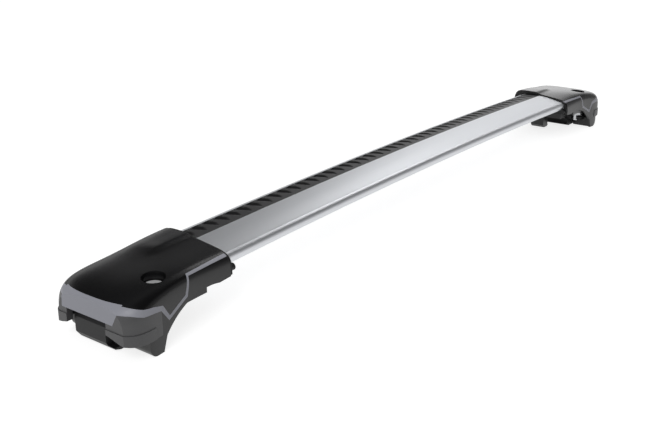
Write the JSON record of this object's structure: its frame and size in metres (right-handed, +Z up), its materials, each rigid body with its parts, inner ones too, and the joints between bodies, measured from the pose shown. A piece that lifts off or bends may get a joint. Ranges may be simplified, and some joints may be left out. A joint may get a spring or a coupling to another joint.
{
  "type": "roof rack crossbar",
  "caption": "Aluminium wing-profile crossbar with a ribbed top strip and locking clamp feet for raised roof rails.",
  "frame": {"origin": "under the middle of the bar, on the surface that the feet stand on", "axes": "+X along the bar, -Y towards the leading edge, +Z up"},
  "size_m": [1.0416, 0.1058, 0.0684],
  "materials": {
    "anodised_aluminium": "satin anodised",
    "strip_rubber": "matte ribbed",
    "black_plastic": "matte",
    "satin_black": "satin moulded",
    "grey_trim": "satin",
    "structural_black": "satin moulded",
    "dark_grey": "satin moulded",
    "gasket_rubber": "matte",
    "lock_metal": "satin",
    "zinc_steel": "zinc plated",
    "jaw_black": "glass filled moulding"
  },
  "bodies": {
    "bar": {"bar_extrusion": "anodised_aluminium", "rubber_strip": "strip_rubber", "left_end_plug": "black_plastic", "right_end_plug": "black_plastic"},
    "left_foot": {"left_bar_collar": "gasket_rubber", "left_end_guard": "dark_grey", "left_foot_body": "structural_black", "left_lock_housing": "black_plastic", "left_pivot_pin": "zinc_steel", "left_saddle_pad": "gasket_rubber", "left_thrust_washer": "zinc_steel", "left_top_cover": "satin_black", "left_trim_insert": "grey_trim"},
    "left_lock": {"left_lock_cylinder": "lock_metal"},
    "left_screw": {"left_tension_screw": "zinc_steel"},
    "left_nut": {"left_barrel_nut": "zinc_steel"},
    "left_jaw": {"left_clamp_jaw": "jaw_black", "left_jaw_pad": "gasket_rubber"},
    "right_foot": {"right_bar_collar": "gasket_rubber", "right_end_guard": "dark_grey", "right_foot_body": "structural_black", "right_lock_housing": "black_plastic", "right_pivot_pin": "zinc_steel", "right_saddle_pad": "gasket_rubber", "right_thrust_washer": "zinc_steel", "right_top_cover": "satin_black", "right_trim_insert": "grey_trim"},
    "right_lock": {"right_lock_cylinder": "lock_metal"},
    "right_screw": {"right_tension_screw": "zinc_steel"},
    "right_nut": {"right_barrel_nut": "zinc_steel"},
    "right_jaw": {"right_clamp_jaw": "jaw_black", "right_jaw_pad": "gasket_rubber"}
  },
  "joints": [
    {"name": "left_foot_slide", "type": "slide", "parent": "bar", "child": "left_foot", "axis": [-0.9996, 0, -0.0277], "range_m": [0, 0.03]},
    {"name": "left_lock_turn", "type": "hinge", "parent": "left_foot", "child": "left_lock", "pos_m": [-0.471, -0.0285, 0.0534], "axis": [0, 0, 1], "range_deg": [0, 90]},
    {"name": "left_screw_turn", "type": "hinge", "parent": "left_foot", "child": "left_screw", "pos_m": [-0.471, -0.0285, 0.0355], "axis": [0, 0, 1], "range_deg": [0, 1350]},
    {"name": "left_nut_lift", "type": "slide", "parent": "left_foot", "child": "left_nut", "axis": [0, 0, 1], "range_m": [-0.00438, 0]},
    {"name": "left_jaw_swing", "type": "hinge", "parent": "left_foot", "child": "left_jaw", "pos_m": [-0.497, 0.006, 0.025], "axis": [0, -1, 0], "range_deg": [-10.5, 0]},
    {"name": "right_foot_slide", "type": "slide", "parent": "bar", "child": "right_foot", "axis": [0.9996, 0, -0.0277], "range_m": [0, 0.03]},
    {"name": "right_lock_turn", "type": "hinge", "parent": "right_foot", "child": "right_lock", "pos_m": [0.471, -0.0285, 0.0534], "axis": [0, 0, 1], "range_deg": [0, 90]},
    {"name": "right_screw_turn", "type": "hinge", "parent": "right_foot", "child": "right_screw", "pos_m": [0.471, -0.0285, 0.0355], "axis": [0, 0, 1], "range_deg": [0, 1350]},
    {"name": "right_nut_lift", "type": "slide", "parent": "right_foot", "child": "right_nut", "axis": [0, 0, 1], "range_m": [-0.00438, 0]},
    {"name": "right_jaw_swing", "type": "hinge", "parent": "right_foot", "child": "right_jaw", "pos_m": [0.497, 0.006, 0.025], "axis": [0, 1, 0], "range_deg": [-10.5, 0]}
  ],
  "couplings": [
    {"joint": "left_screw_turn", "follows": "left_nut_lift", "rad_per_m": -5026.5},
    {"joint": "left_jaw_swing", "follows": "left_nut_lift", "rad_per_m": 38.462},
    {"joint": "right_screw_turn", "follows": "right_nut_lift", "rad_per_m": -5026.5},
    {"joint": "right_jaw_swing", "follows": "right_nut_lift", "rad_per_m": 38.462}
  ]
}
